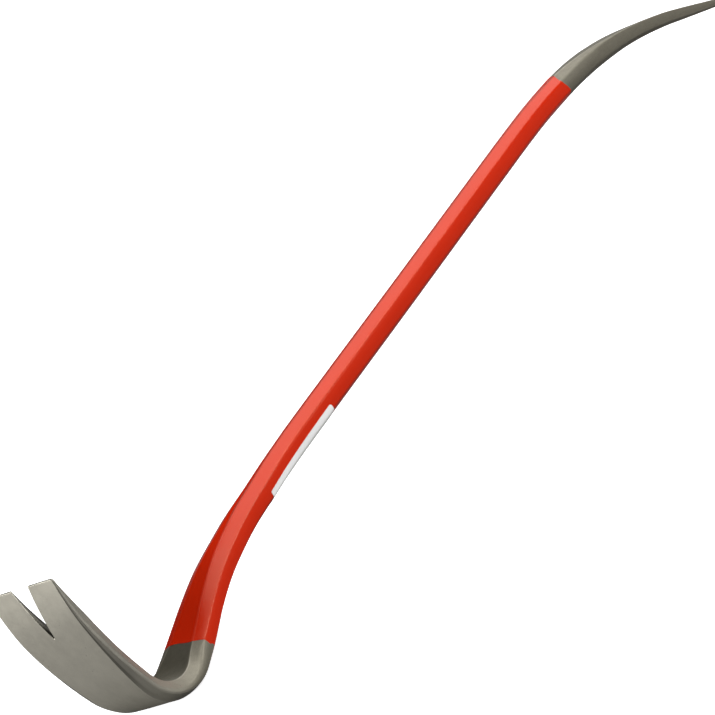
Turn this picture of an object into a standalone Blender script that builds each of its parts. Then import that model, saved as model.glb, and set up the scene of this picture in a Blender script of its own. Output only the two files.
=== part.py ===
"""Gooseneck wrecking bar: one steel forging, its red coat and a bare sticker.

The bar is one length of hexagon steel.  It is bent in one plane into a long S: a drawn-out
chisel at one end, a gentle gooseneck, and a tight heel that turns into a flared claw with a
V notch for nails.  Everything is lofted along one centre line, so that the coat and the
sticker take their shape from the same sections as the steel.

Units are metres.  The bar rests on its heel and its chisel's edge, with the claw pointing up.
"""
import math

import bmesh
import bpy
from mathutils import Matrix
from mathutils import Vector

# Stock
ACROSS_FLATS = 0.016          # hexagon steel, corners in the plane of the bends
CORNER_LAND = 0.0016          # small flat that the rolled corners have
EDGE_RADIUS = 0.0012          # rounding of every long edge

# Centre line, from the chisel to the claw
CHISEL_STRAIGHT = 0.070       # last stretch before the chisel's edge
CHISEL_BEND_RADIUS = 0.420
CHISEL_BEND_ANGLE = math.radians(24.2)
SHANK_LENGTH = 0.365          # straight stretch between the two bends
NECK_RADIUS = 0.248           # gooseneck, the same way round as the chisel bend
NECK_ANGLE = math.radians(19.7)
NECK_STRAIGHT = 0.0323
HEEL_RADIUS = 0.0331          # tight fulcrum bend, the other way
HEEL_ANGLE = math.radians(90.0)
CLAW_SWEEP_RADIUS = 0.225     # the claw keeps curling a little
CLAW_LENGTH = 0.0835

# Chisel: the hexagon is drawn down to an edge
CHISEL_TAPER_RUN = 0.049      # how far down the shank the taper starts
CHISEL_EDGE_THICKNESS = 0.0017
CHISEL_EDGE_WIDTH = 0.020
CHISEL_BEVEL_RUN = 0.0004
CHISEL_BEVEL_DROP = 0.0005

# Neck, where the red coat ends: already spread flat
SPREAD_RUN = 0.068            # how far up the shank the spreading starts
NECK_THICKNESS = 0.0097
NECK_WIDTH = 0.0313
NECK_INNER_BEVEL_RUN = 0.0067
NECK_INNER_BEVEL_DROP = 0.0023
NECK_OUTER_BEVEL_RUN = 0.0010
NECK_OUTER_BEVEL_DROP = 0.0010

# Heel, half way round the fulcrum bend
HEEL_THICKNESS = 0.0095
HEEL_WIDTH = 0.0449
HEEL_INNER_BEVEL_RUN = 0.0057
HEEL_INNER_BEVEL_DROP = 0.0057
HEEL_OUTER_BEVEL_RUN = 0.0072
HEEL_OUTER_BEVEL_DROP = 0.0029

# Claw, at the root of the V notch
ROOT_THICKNESS = 0.0075
ROOT_WIDTH = 0.0498
ROOT_INNER_BEVEL_RUN = 0.0015
ROOT_INNER_BEVEL_DROP = 0.0046
ROOT_OUTER_BEVEL_RUN = 0.0022
ROOT_OUTER_BEVEL_DROP = 0.0016

# Claw, at the tips of the two tines
TIP_THICKNESS = 0.0018
TIP_WIDTH = 0.0501
TIP_BEVEL_RUN = 0.0003
TIP_BEVEL_DROP = 0.0005

# V notch between the tines
NOTCH_DEPTH = 0.0327
NOTCH_MOUTH = 0.0131
NOTCH_ROOT_RADIUS = 0.0005
NOTCH_WALL_AT_ROOT = 0.0038   # square wall left above the outer face, below the inner bevel
NOTCH_WALL_AT_TIP = 0.0010
NOTCH_BEVEL_ANGLE = math.radians(42.0)
NOTCH_PAST_TIP = 0.016        # how far the cutter runs on past the tips

# Red coat
COAT_THICKNESS = 0.0004
COAT_PROUD = 0.0001           # how far the film stands above the bare steel
COAT_CLEARANCE = 0.0003
COAT_PAST_CHISEL_BEND = 0.0424  # where the coat ends, past the start of the chisel bend
COAT_PAST_NECK_BEND = 0.0200    # where it ends, past the end of the gooseneck

# Sticker, wrapped round the outer corner of the shank
STICKER_LENGTH = 0.079
STICKER_THICKNESS = 0.00025
STICKER_CLEARANCE = 0.0003
STICKER_FROM_NECK = 0.0055    # its lower end, from the end of the straight shank
STICKER_LAP = 0.0036          # how far each side laps onto the side flat
STICKER_CORNER = 0.0025

# Lofting
RING_STEP = 0.008             # distance between rings where the bar is gently curved
RING_STEP_TIGHT = 0.0027      # distance between rings round the heel
LEAST_RING_GAP = 0.0008       # no two rings of one skin come closer than this
ARC_POINTS = 3                # points on each rounded corner
SHARPEST_RADIUS = 0.0001      # a rounded corner that is slimmed down stays this round
LONGEST_ROUNDING = 0.4        # share of a side that its rounded corner may take
CORNER_STEPS = 4              # steps round a sticker's corner and round the notch's root
CREASE = math.radians(24.0)   # edges that turn more than this are shaded sharp

STEEL_GREY = (0.33, 0.32, 0.29)
COAT_RED = (0.62, 0.045, 0.022)
STICKER_WHITE = (0.86, 0.86, 0.85)


def remove_everything():
    for item in list(bpy.data.objects):
        bpy.data.objects.remove(item)


def finish_material(name, colour, roughness, metallic):
    material = bpy.data.materials.new(name)
    material.use_nodes = True
    shader = material.node_tree.nodes["Principled BSDF"]
    shader.inputs["Base Color"].default_value = (*colour, 1.0)
    shader.inputs["Roughness"].default_value = roughness
    shader.inputs["Metallic"].default_value = metallic
    material.diffuse_color = (*colour, 1.0)
    return material


# Places along the bar: zero at the gooseneck end of the straight shank, claw side positive
NECK_BEND_END = NECK_RADIUS * NECK_ANGLE
HEEL_START = NECK_BEND_END + NECK_STRAIGHT
HEEL_END = HEEL_START + HEEL_RADIUS * HEEL_ANGLE
CLAW_TIP = HEEL_END + CLAW_LENGTH
NOTCH_ROOT = CLAW_TIP - NOTCH_DEPTH
CHISEL_BEND_START = -SHANK_LENGTH
CHISEL_BEND_END = CHISEL_BEND_START - CHISEL_BEND_RADIUS * CHISEL_BEND_ANGLE
CHISEL_TIP = CHISEL_BEND_END - CHISEL_STRAIGHT
COAT_UPPER_END = CHISEL_BEND_START - COAT_PAST_CHISEL_BEND
COAT_LOWER_END = NECK_BEND_END + COAT_PAST_NECK_BEND
COAT_SEAT = COAT_CLEARANCE + COAT_THICKNESS - COAT_PROUD
STICKER_LOWER_END = -STICKER_FROM_NECK
STICKER_UPPER_END = STICKER_LOWER_END - STICKER_LENGTH


def walk(stretches, heading, distance):
    """Follow straight and curved stretches (length, curvature) and return place and heading."""
    x = 0.0
    y = 0.0
    for length, curvature in stretches:
        step = min(length, distance)
        if curvature == 0.0:
            x += step * math.cos(heading)
            y += step * math.sin(heading)
        else:
            turned = heading + curvature * step
            x += (math.sin(turned) - math.sin(heading)) / curvature
            y -= (math.cos(turned) - math.cos(heading)) / curvature
            heading = turned
        distance -= step
        if distance <= 0.0:
            break
    return x, y, heading


def centre_line(place):
    """Point on the centre line, and the direction square to it on the claw's side."""
    if place >= 0.0:
        x, y, heading = walk(
            (
                (NECK_BEND_END, 1.0 / NECK_RADIUS),
                (NECK_STRAIGHT, 0.0),
                (HEEL_END - HEEL_START, -1.0 / HEEL_RADIUS),
                (CLAW_LENGTH, -1.0 / CLAW_SWEEP_RADIUS),
            ),
            math.pi,
            place,
        )
        return Vector((x, y, 0.0)), Vector((math.sin(heading), -math.cos(heading), 0.0))
    x, y, heading = walk(
        (
            (SHANK_LENGTH, 0.0),
            (CHISEL_BEND_START - CHISEL_BEND_END, -1.0 / CHISEL_BEND_RADIUS),
            (CHISEL_STRAIGHT, 0.0),
        ),
        0.0,
        -place,
    )
    return Vector((x, y, 0.0)), Vector((-math.sin(heading), math.cos(heading), 0.0))


def section(thickness, width, inner_run, inner_drop, outer_run, outer_drop):
    return (thickness, width, inner_run, inner_drop, outer_run, outer_drop)


# The land cuts the hexagon's point back by this much on either side
LAND_SETBACK = 0.5 * CORNER_LAND * math.tan(math.radians(30.0))
HEXAGON = section(
    ACROSS_FLATS / math.cos(math.radians(30.0)) - 2.0 * LAND_SETBACK,
    ACROSS_FLATS,
    0.5 * (ACROSS_FLATS - CORNER_LAND),
    0.5 * (ACROSS_FLATS - CORNER_LAND) * math.tan(math.radians(30.0)),
    0.5 * (ACROSS_FLATS - CORNER_LAND),
    0.5 * (ACROSS_FLATS - CORNER_LAND) * math.tan(math.radians(30.0)),
)

STATIONS = (
    (
        CHISEL_TIP,
        section(
            CHISEL_EDGE_THICKNESS, CHISEL_EDGE_WIDTH,
            CHISEL_BEVEL_RUN, CHISEL_BEVEL_DROP, CHISEL_BEVEL_RUN, CHISEL_BEVEL_DROP,
        ),
    ),
    (CHISEL_BEND_START + CHISEL_TAPER_RUN, HEXAGON),
    (-SPREAD_RUN, HEXAGON),
    (
        COAT_LOWER_END,
        section(
            NECK_THICKNESS, NECK_WIDTH,
            NECK_INNER_BEVEL_RUN, NECK_INNER_BEVEL_DROP,
            NECK_OUTER_BEVEL_RUN, NECK_OUTER_BEVEL_DROP,
        ),
    ),
    (
        0.5 * (HEEL_START + HEEL_END),
        section(
            HEEL_THICKNESS, HEEL_WIDTH,
            HEEL_INNER_BEVEL_RUN, HEEL_INNER_BEVEL_DROP,
            HEEL_OUTER_BEVEL_RUN, HEEL_OUTER_BEVEL_DROP,
        ),
    ),
    (
        NOTCH_ROOT,
        section(
            ROOT_THICKNESS, ROOT_WIDTH,
            ROOT_INNER_BEVEL_RUN, ROOT_INNER_BEVEL_DROP,
            ROOT_OUTER_BEVEL_RUN, ROOT_OUTER_BEVEL_DROP,
        ),
    ),
    (
        CLAW_TIP,
        section(
            TIP_THICKNESS, TIP_WIDTH,
            TIP_BEVEL_RUN, TIP_BEVEL_DROP, TIP_BEVEL_RUN, TIP_BEVEL_DROP,
        ),
    ),
)


def slope_at(index, item):
    """Slope of one section value at a station, flat where the value turns back."""
    places = [place for place, _ in STATIONS]
    values = [values[item] for _, values in STATIONS]
    last = len(places) - 1
    before = None
    after = None
    if index > 0:
        before = (values[index] - values[index - 1]) / (places[index] - places[index - 1])
    if index < last:
        after = (values[index + 1] - values[index]) / (places[index + 1] - places[index])
    if before is None:
        return after
    if after is None:
        return before
    if before * after <= 0.0:
        return 0.0
    return 2.0 * before * after / (before + after)


SLOPES = [[slope_at(index, item) for item in range(6)] for index in range(len(STATIONS))]


def section_at(place):
    """Section values between the stations, on a smooth curve that never overshoots."""
    index = 0
    while index < len(STATIONS) - 2 and place > STATIONS[index + 1][0]:
        index += 1
    start, first = STATIONS[index]
    end, second = STATIONS[index + 1]
    span = end - start
    t = min(max((place - start) / span, 0.0), 1.0)
    values = []
    for item in range(6):
        values.append(
            (2 * t ** 3 - 3 * t ** 2 + 1) * first[item]
            + (t ** 3 - 2 * t ** 2 + t) * span * SLOPES[index][item]
            + (3 * t ** 2 - 2 * t ** 3) * second[item]
            + (t ** 3 - t ** 2) * span * SLOPES[index + 1][item]
        )
    return values


def half_corners(place):
    """Corners of the section's upper half, from the inner face round to the outer face."""
    thickness, width, inner_run, inner_drop, outer_run, outer_drop = section_at(place)
    inner = 0.5 * thickness
    side = 0.5 * width
    return [
        (inner, side - inner_run),
        (inner - inner_drop, side),
        (outer_drop - inner, side),
        (-inner, side - outer_run),
    ]


def grown(corners, amount):
    """Move every side of a closed convex outline outward by the same amount."""
    moved = []
    count = len(corners)
    for index in range(count):
        previous = Vector(corners[index - 1])
        here = Vector(corners[index])
        following = Vector(corners[(index + 1) % count])
        first = (here - previous).normalized()
        second = (following - here).normalized()
        first_normal = Vector((first.y, -first.x))
        second_normal = Vector((second.y, -second.x))
        bisector = first_normal + second_normal
        moved.append(here + bisector * (amount / (0.5 * bisector.length_squared)))
    return moved


def rounded(corners, radius):
    """Round each corner of a closed outline with ARC_POINTS points on an arc."""
    outline = []
    count = len(corners)
    for index in range(count):
        here = corners[index]
        back = corners[index - 1] - here
        ahead = corners[(index + 1) % count] - here
        turn = math.pi - back.angle(ahead)
        longest = LONGEST_ROUNDING * min(back.length, ahead.length)
        reach = min(radius * math.tan(0.5 * turn), longest)
        arc_radius = reach / math.tan(0.5 * turn)
        start = here + back.normalized() * reach
        inward = (back.normalized() + ahead.normalized()).normalized()
        centre = here + inward * (arc_radius / math.cos(0.5 * turn))
        spoke = start - centre
        for point in range(ARC_POINTS):
            angle = turn * point / (ARC_POINTS - 1)
            outline.append(centre + Matrix.Rotation(angle, 2) @ spoke)
    return outline


def outline_at(place, growth=0.0):
    """Whole section outline, going from the inner face over the top to the outer face."""
    upper = half_corners(place)
    lower = [(height, -side) for height, side in reversed(upper)]
    corners = [Vector(corner) for corner in upper + lower]
    return rounded(grown(corners, growth), max(EDGE_RADIUS + growth, SHARPEST_RADIUS))


def set_out(place, outline):
    """Put an outline's points (height towards the inner side, distance sideways) in place."""
    point, inward = centre_line(place)
    return [point + inward * height + Vector((0.0, 0.0, side)) for height, side in outline]


def ring_at(place, growth=0.0):
    return set_out(place, outline_at(place, growth))


def ring_places(start, end):
    """Places of the rings between two ends: none extra where the bar is straight and even."""
    stretches = (
        (CHISEL_TIP, CHISEL_BEND_START + CHISEL_TAPER_RUN, RING_STEP),
        (CHISEL_BEND_START + CHISEL_TAPER_RUN, -SPREAD_RUN, SHANK_LENGTH),
        (-SPREAD_RUN, HEEL_START, RING_STEP),
        (HEEL_START, HEEL_END, RING_STEP_TIGHT),
        (HEEL_END, CLAW_TIP, RING_STEP),
    )
    places = [start]
    for first, last, step in stretches:
        count = max(1, round((last - first) / step))
        for index in range(count + 1):
            place = first + (last - first) * index / count
            if places[-1] + LEAST_RING_GAP < place < end - LEAST_RING_GAP:
                places.append(place)
    places.append(end)
    return places


def add_ring(mesh, points):
    return [mesh.verts.new(point) for point in points]


def skin(mesh, rings, closed=True):
    """Faces between each ring and the next."""
    for first, second in zip(rings, rings[1:]):
        count = len(first)
        for index in range(count if closed else count - 1):
            following = (index + 1) % count
            mesh.faces.new((first[index], second[index], second[following], first[following]))


def make_object(name, mesh, material, parent):
    bmesh.ops.recalc_face_normals(mesh, faces=mesh.faces[:])
    data = bpy.data.meshes.new(name)
    mesh.to_mesh(data)
    mesh.free()
    data.materials.append(material)
    data.shade_smooth()
    data.set_sharp_from_angle(angle=CREASE)
    item = bpy.data.objects.new(name, data)
    bpy.context.collection.objects.link(item)
    item.parent = parent
    return item


def notch_plan(growth):
    """Plan of the V (distance from its root, distance sideways), grown outward on every side."""
    run = NOTCH_DEPTH - NOTCH_ROOT_RADIUS
    half_mouth = 0.5 * NOTCH_MOUTH
    half_angle = math.atan2(half_mouth, run)
    half_angle -= math.asin(NOTCH_ROOT_RADIUS / math.hypot(half_mouth, run))
    radius = NOTCH_ROOT_RADIUS + growth
    end = NOTCH_DEPTH + NOTCH_PAST_TIP
    far = radius / math.cos(half_angle) + (end - NOTCH_ROOT_RADIUS) * math.tan(half_angle)
    plan = [(end, -far), (end, far)]
    for step in range(CORNER_STEPS + 1):
        angle = math.radians(90.0) + half_angle + (math.pi - 2.0 * half_angle) * step / CORNER_STEPS
        plan.append((NOTCH_ROOT_RADIUS + radius * math.cos(angle), radius * math.sin(angle)))
    return plan


def make_notch_cutter(parent):
    """V that stands through the claw, with a waist from which it flares to the inner face."""
    root_point, _ = centre_line(NOTCH_ROOT)
    tip_point, _ = centre_line(CLAW_TIP)
    _, inward = centre_line(0.5 * (NOTCH_ROOT + CLAW_TIP))
    along = (tip_point - root_point).normalized()
    across = Vector((-along.y, along.x, 0.0))
    if across.dot(inward) < 0.0:
        across.negate()
    reach = ROOT_THICKNESS + NOTCH_DEPTH ** 2 / CLAW_SWEEP_RADIUS
    flare = 2.0 * reach * math.tan(NOTCH_BEVEL_ANGLE)
    mesh = bmesh.new()
    below = []
    waist = []
    above = []
    for (run, side), (flared_run, flared_side) in zip(notch_plan(0.0), notch_plan(flare)):
        share = min(max(run / NOTCH_DEPTH, 0.0), 1.0)
        place = NOTCH_ROOT + share * NOTCH_DEPTH
        point, square = centre_line(place)
        outer_face = (point - square * (0.5 * section_at(place)[0]) - root_point).dot(across)
        wall = NOTCH_WALL_AT_ROOT + (NOTCH_WALL_AT_TIP - NOTCH_WALL_AT_ROOT) * share
        foot = root_point + along * run + Vector((0.0, 0.0, side))
        flared = root_point + along * flared_run + Vector((0.0, 0.0, flared_side))
        below.append(mesh.verts.new(foot - across * reach))
        waist.append(mesh.verts.new(foot + across * (outer_face + wall)))
        above.append(mesh.verts.new(flared + across * (outer_face + wall + 2.0 * reach)))
    skin(mesh, [below, waist, above])
    mesh.faces.new(below)
    mesh.faces.new(above)
    bmesh.ops.triangulate(mesh, faces=mesh.faces[:])
    bmesh.ops.recalc_face_normals(mesh, faces=mesh.faces[:])
    data = bpy.data.meshes.new("notch_cutter")
    mesh.to_mesh(data)
    mesh.free()
    cutter = bpy.data.objects.new("notch_cutter", data)
    bpy.context.collection.objects.link(cutter)
    cutter.parent = parent
    cutter.hide_render = True
    cutter.display_type = "WIRE"
    return cutter


def make_forged_bar(parent):
    """The steel from edge to edge, slimmer under the coat by the coat's seat."""
    mesh = bmesh.new()
    rings = [add_ring(mesh, ring_at(place)) for place in ring_places(CHISEL_TIP, COAT_UPPER_END)]
    for place in ring_places(COAT_UPPER_END, COAT_LOWER_END):
        rings.append(add_ring(mesh, ring_at(place, -COAT_SEAT)))
    for place in ring_places(COAT_LOWER_END, CLAW_TIP):
        rings.append(add_ring(mesh, ring_at(place)))
    skin(mesh, rings)
    mesh.faces.new(rings[0])
    mesh.faces.new(rings[-1])
    steel = finish_material("forged_steel", STEEL_GREY, 0.42, 1.0)
    bar = make_object("forged_bar", mesh, steel, parent)
    notch = bar.modifiers.new("nail_notch", "BOOLEAN")
    notch.operation = "DIFFERENCE"
    notch.object = make_notch_cutter(parent)
    return bar


def make_coat(parent):
    """Closed sleeve of paint round the steel, between the two bare ends."""
    start = COAT_UPPER_END + COAT_CLEARANCE
    end = COAT_LOWER_END - COAT_CLEARANCE
    mesh = bmesh.new()
    outside = []
    inside = []
    for place in ring_places(start, end):
        outside.append(add_ring(mesh, ring_at(place, COAT_PROUD)))
        inside.append(add_ring(mesh, ring_at(place, COAT_PROUD - COAT_THICKNESS)))
    skin(mesh, outside)
    skin(mesh, inside)
    skin(mesh, [outside[0], inside[0]])
    skin(mesh, [outside[-1], inside[-1]])
    red = finish_material("red_coat", COAT_RED, 0.30, 0.0)
    return make_object("red_coat", mesh, red, parent)


def sticker_strip(place, lap, growth):
    """Open outline of the sticker: from one side flat over the outer corner to the other."""
    outline = outline_at(place, growth)
    ridge = 2 * ARC_POINTS
    wrapped = outline[ridge:len(outline) - ridge]
    first = wrapped[0]
    last = wrapped[-1]
    return (
        [Vector((first.x + lap, first.y))]
        + wrapped
        + [Vector((last.x + lap, last.y))]
    )


def make_sticker(parent):
    """Bare white sticker with rounded corners, folded round the shank's outer corner."""
    places = ring_places(STICKER_UPPER_END + STICKER_CORNER, STICKER_LOWER_END - STICKER_CORNER)
    for step in range(CORNER_STEPS):
        offset = STICKER_CORNER * (1.0 - math.cos(math.radians(90.0) * step / CORNER_STEPS))
        places.append(STICKER_UPPER_END + offset)
        places.append(STICKER_LOWER_END - offset)
    places.sort()
    inner_growth = COAT_PROUD + STICKER_CLEARANCE
    mesh = bmesh.new()
    inside = []
    outside = []
    for place in places:
        edge = min(place - STICKER_UPPER_END, STICKER_LOWER_END - place, STICKER_CORNER)
        trim = STICKER_CORNER - math.sqrt(max(0.0, STICKER_CORNER ** 2 - (STICKER_CORNER - edge) ** 2))
        lap = STICKER_LAP - trim
        for rings, growth in ((inside, inner_growth), (outside, inner_growth + STICKER_THICKNESS)):
            rings.append(add_ring(mesh, set_out(place, sticker_strip(place, lap, growth))))
    skin(mesh, inside, closed=False)
    skin(mesh, outside, closed=False)
    skin(mesh, [inside[0], outside[0]], closed=False)
    skin(mesh, [inside[-1], outside[-1]], closed=False)
    for side in (0, -1):
        for index in range(len(places) - 1):
            mesh.faces.new(
                (
                    inside[index][side],
                    inside[index + 1][side],
                    outside[index + 1][side],
                    outside[index][side],
                )
            )
    white = finish_material("sticker_white", STICKER_WHITE, 0.45, 0.0)
    return make_object("sticker", mesh, white, parent)


def rest_placement():
    """Stand the bar on its heel and its chisel's edge, centred over the origin."""
    upright = Matrix.Rotation(math.radians(90.0), 4, "X")
    edge = min((upright @ point for point in ring_at(CHISEL_TIP)), key=lambda point: point.z)
    heel = [upright @ point for place in ring_places(HEEL_START, HEEL_END) for point in ring_at(place)]
    lean = max(math.atan2(edge.z - point.z, edge.x - point.x) for point in heel)
    turn = Matrix.Rotation(lean, 4, "Y") @ upright
    points = [turn @ point for place in ring_places(CHISEL_TIP, CLAW_TIP) for point in ring_at(place)]
    middle = 0.5 * (min(point.x for point in points) + max(point.x for point in points))
    lowest = min(point.z for point in points)
    return Matrix.Translation((-middle, 0.0, -lowest)) @ turn


def main():
    remove_everything()
    frame = bpy.data.objects.new("bar_frame", None)
    bpy.context.collection.objects.link(frame)
    frame.matrix_world = rest_placement()
    make_forged_bar(frame)
    make_coat(frame)
    make_sticker(frame)
    bpy.context.view_layer.update()


main()
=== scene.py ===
"""Dressed model of a gooseneck wrecking bar: forged steel, red enamel and a bare sticker.

Every skin is lofted again, finely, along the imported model's centre line and through sections
close to its own, so that each piece lies where its solid lies.  Lengths are in metres.
"""
import math

import bmesh
import bpy
from mathutils import Matrix
from mathutils import Vector
from mathutils import noise


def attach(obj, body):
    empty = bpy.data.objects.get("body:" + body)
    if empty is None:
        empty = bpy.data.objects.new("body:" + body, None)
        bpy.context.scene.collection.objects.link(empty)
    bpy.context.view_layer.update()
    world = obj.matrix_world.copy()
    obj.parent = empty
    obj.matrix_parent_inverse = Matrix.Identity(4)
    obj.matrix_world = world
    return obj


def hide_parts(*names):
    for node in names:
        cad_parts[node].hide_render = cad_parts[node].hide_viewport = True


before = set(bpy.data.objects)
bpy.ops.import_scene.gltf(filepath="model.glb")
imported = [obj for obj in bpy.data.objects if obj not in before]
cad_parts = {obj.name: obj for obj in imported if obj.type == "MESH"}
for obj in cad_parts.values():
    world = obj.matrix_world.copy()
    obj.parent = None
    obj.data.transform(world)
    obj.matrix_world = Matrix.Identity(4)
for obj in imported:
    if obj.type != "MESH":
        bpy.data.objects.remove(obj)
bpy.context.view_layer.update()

bl_info = {
    "name": "Gooseneck wrecking bar",
    "version": (1, 0, 0),
    "blender": (4, 5, 0),
    "location": "3D View > Sidebar > Wrecking bar",
    "description": "Builds a forged wrecking bar with its coat, its sticker and a plain studio",
    "category": "Add Mesh",
}

# Centre line, from the chisel to the claw
CHISEL_STRAIGHT = 0.070
CHISEL_BEND_RADIUS = 0.420
CHISEL_BEND_ANGLE = math.radians(24.2)
SHANK_LENGTH = 0.365
NECK_RADIUS = 0.248
NECK_ANGLE = math.radians(19.7)
NECK_STRAIGHT = 0.0323
HEEL_RADIUS = 0.0331
HEEL_ANGLE = math.radians(90.0)
CLAW_SWEEP_RADIUS = 0.225
CLAW_LENGTH = 0.0835

# Stock
ACROSS_FLATS = 0.016
CORNER_LAND = 0.0016
SLANT = math.tan(math.radians(30.0))

# Coat and sticker
COAT_PROUD = 0.0001
COAT_PAST_CHISEL_BEND = 0.0424
COAT_PAST_NECK_BEND = 0.0200
STICKER_LENGTH = 0.079
STICKER_FROM_NECK = 0.0055

# V notch between the tines
NOTCH_DEPTH = 0.0327
NOTCH_MOUTH = 0.0131
NOTCH_ROOT_RADIUS = 0.0005
NOTCH_WALL_AT_ROOT = 0.0027
NOTCH_WALL_AT_TIP = 0.0004
NOTCH_BEVEL = math.tan(math.radians(42.0))

# How the bar stands: its lean, and where the gooseneck end of the shank is
LEAN = math.radians(-2.6992223)
SHANK_FOOT = (-0.2146268, 0.0, 0.0380186)

# Places along the bar: zero at the gooseneck end of the straight shank, claw side positive
NECK_BEND_END = NECK_RADIUS * NECK_ANGLE
HEEL_START = NECK_BEND_END + NECK_STRAIGHT
HEEL_END = HEEL_START + HEEL_RADIUS * HEEL_ANGLE
HEEL_MIDDLE = 0.5 * (HEEL_START + HEEL_END)
CLAW_TIP = HEEL_END + CLAW_LENGTH
NOTCH_ROOT = CLAW_TIP - NOTCH_DEPTH
CHISEL_BEND_START = -SHANK_LENGTH
CHISEL_BEND_END = CHISEL_BEND_START - CHISEL_BEND_RADIUS * CHISEL_BEND_ANGLE
CHISEL_TIP = CHISEL_BEND_END - CHISEL_STRAIGHT
TAPER_START = CHISEL_BEND_START + 0.049
SPREAD_START = -0.068
CLAW_START = HEEL_END + 0.012
COAT_UPPER_END = CHISEL_BEND_START - COAT_PAST_CHISEL_BEND
COAT_LOWER_END = NECK_BEND_END + COAT_PAST_NECK_BEND

# Sections: place, thickness, width, then run and drop of the inner and of the outer bevel
HALF_SLOPE = 0.5 * (ACROSS_FLATS - CORNER_LAND)
HEXAGON = (
    ACROSS_FLATS / math.cos(math.radians(30.0)) - CORNER_LAND * SLANT,
    ACROSS_FLATS, HALF_SLOPE, HALF_SLOPE * SLANT, HALF_SLOPE, HALF_SLOPE * SLANT,
)
STATIONS = (
    (CHISEL_TIP, (0.0019, 0.0200, 0.0004, 0.0005, 0.0004, 0.0005)),
    (-0.585, (0.0045, 0.0196, 0.0004, 0.0005, 0.0010, 0.0009)),
    (-0.540, (0.0076, 0.0189, 0.0005, 0.0005, 0.0020, 0.0016)),
    (-0.485, (0.0106, 0.0179, 0.0006, 0.0005, 0.0046, 0.0028)),
    (-0.460, (0.0127, 0.0174, 0.0022, 0.0010, 0.0052, 0.0031)),
    (-0.440, (0.0143, 0.0171, 0.0041, 0.0022, 0.0056, 0.0033)),
    (-0.412, (0.0161, 0.0167, 0.0062, 0.0037, 0.0062, 0.0036)),
    (-0.370, (0.0171, 0.0162, 0.0069, 0.0040, 0.0069, 0.0040)),
    (TAPER_START, HEXAGON),
    (SPREAD_START, HEXAGON),
    (0.010, (0.0153, 0.0205, 0.0087, 0.0040, 0.0055, 0.0031)),
    (0.075, (0.0122, 0.0275, 0.0073, 0.0030, 0.0028, 0.0017)),
    (COAT_LOWER_END, (0.0109, 0.0320, 0.0067, 0.0023, 0.0010, 0.0010)),
    (HEEL_MIDDLE, (0.0108, 0.0450, 0.0057, 0.0057, 0.0072, 0.0029)),
    (NOTCH_ROOT, (0.0077, 0.0502, 0.0015, 0.0046, 0.0013, 0.0011)),
    (CLAW_TIP, (0.0012, 0.0505, 0.0003, 0.0004, 0.0003, 0.0004)),
)

# How far the hand-bent bar strays to the outer side of the drawn centre line
STRAY = (
    (CHISEL_TIP, (0.0000,)),
    (-0.480, (0.0005,)),
    (-0.430, (0.0006,)),
    (-0.390, (0.0011,)),
    (-0.340, (0.0006,)),
    (-0.200, (0.0004,)),
    (-0.060, (0.0000,)),
    (-0.030, (0.0002,)),
    (0.005, (0.0014,)),
    (0.030, (0.0015,)),
    (0.060, (0.0008,)),
    (0.100, (0.0006,)),
    (0.122, (-0.0004,)),
    (0.137, (-0.0007,)),
    (0.155, (-0.0005,)),
    (CLAW_TIP, (-0.0003,)),
)

# Radii of the half section's long edges: beside the inner face, of the inner ridge, of the
# outer ridge and beside the outer face
ROUNDINGS = (
    (CHISEL_TIP, (0.0004, 0.0006, 0.0006, 0.0004)),
    (-0.450, (0.0008, 0.0030, 0.0022, 0.0010)),
    (-0.350, (0.0015, 0.0024, 0.0030, 0.0015)),
    (SPREAD_START, (0.0015, 0.0024, 0.0024, 0.0015)),
    (0.030, (0.0008, 0.0008, 0.0014, 0.0010)),
    (0.085, (0.0007, 0.0006, 0.0014, 0.0010)),
    (COAT_LOWER_END, (0.0007, 0.0008, 0.0016, 0.0010)),
    (HEEL_START, (0.0007, 0.0032, 0.0022, 0.0010)),
    (CLAW_START, (0.0007, 0.0009, 0.0009, 0.0006)),
    (CLAW_TIP, (0.0004, 0.0005, 0.0005, 0.0004)),
)
ROUNDING_CHANGE = 0.15        # the radii change by this share, in stretches of this size
ROUNDING_CHANGE_SIZE = 0.03
SHARPEST_RADIUS = 0.0001
LONGEST_ROUNDING = 0.4        # share of a side that its rounded edge may take
TIP_EDGE_RADIUS = 0.0005      # rounding of the chisel's edge and of the claw's tips

# Shares of their widths that the slanted inner, the side and the slanted outer facet may swell
# out by, shares of the swelling that the claw and the chisel lose, and where the chisel's is lost
CROWN_SHARES = (0.008, 0.04, 0.02)
CLAW_CROWN_LOSS = 0.8
CHISEL_CROWN_LOSS = 0.7
CHISEL_CROWN_LOST = CHISEL_BEND_END + 0.080

# Sizes of the broad and of the fine unevenness, along, through and across the bar
BROAD_UNEVENNESS = (0.021, 0.012, 0.014)
FINE_UNEVENNESS = (0.0075, 0.006, 0.0065)
FINE_SHARE = 0.35
FINE_SHIFT = 7.0              # keeps the fine unevenness apart from the broad one

# The shank's unevenness grows to the forged ends' over this length, which starts so far past
# the start of the spread and so far before the taper
FORGED_RUN = 0.10
PAST_SPREAD = 0.05
BEFORE_TAPER = 0.03

# Fineness of the skins
ARC_STEPS = 6                 # steps round each long edge
FACET_STEPS = 6               # steps across each slanted or side facet
CREASE = math.radians(28.0)

# Pitches of the rows along the bar
CHISEL_STEP = 0.0024
COAT_STEP = 0.0026
SHANK_STEP = 0.0060
NECK_STEP = 0.0028
HEEL_STEP = 0.0013
CLAW_STEP = 0.0016
ROOT_STEP = 0.00038
TINE_STEP = 0.0012

# Wear, and painted shade on the enamel: how far from a long edge they reach, and how strong they
# are on the half section's four edges
RIM_REACH = 0.0016
RIM_SHARES = (1.0, 0.62, 1.0, 1.0)
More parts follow.
